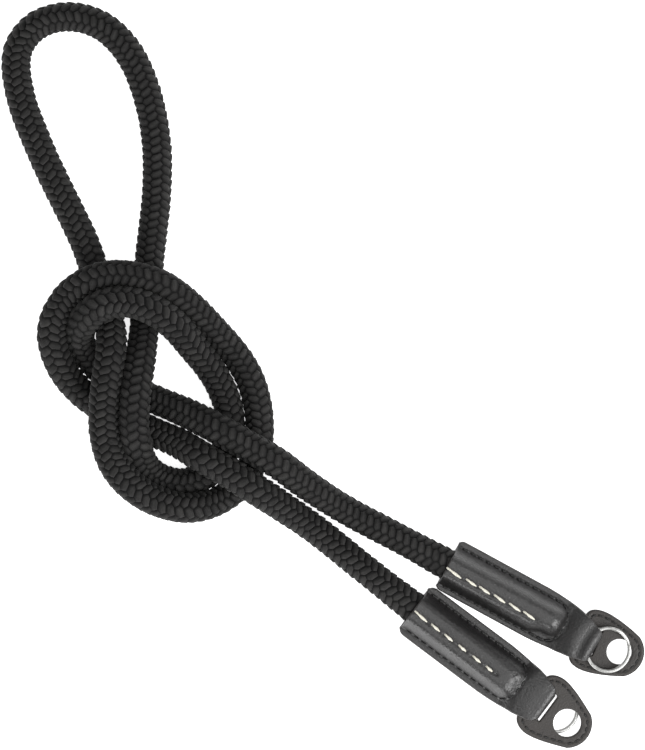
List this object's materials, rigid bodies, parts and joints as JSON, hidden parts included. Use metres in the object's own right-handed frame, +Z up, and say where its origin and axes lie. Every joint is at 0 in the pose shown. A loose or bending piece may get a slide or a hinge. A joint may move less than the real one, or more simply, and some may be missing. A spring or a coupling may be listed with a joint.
{
  "type": "knotted rope camera strap",
  "caption": "Black braided rope camera strap, doubled and tied in a loose overhand knot, with folded leather ends, split rings and leather ring guards.",
  "frame": {"origin": "on the surface that the strap lies on, under the middle of the two leather ends with their rings and guards", "axes": "+Z up from the surface, +Y towards the rope's large loop, +X towards the ring of the upper leather end"},
  "size_m": [0.216, 0.2526, 0.0226],
  "materials": {
    "rope": "soft braided silk, charcoal black",
    "leather": "smooth black leather, semi-gloss",
    "guard_leather": "dark brown-black leather, satin",
    "steel": "polished nickel-plated steel"
  },
  "bodies": {
    "root": {"rope": "rope", "leather_end_a": "leather", "leather_end_b": "leather", "ring_guard_a": "guard_leather", "ring_guard_b": "guard_leather", "split_ring_a": "steel", "split_ring_b": "steel"}
  },
  "joints": []
}
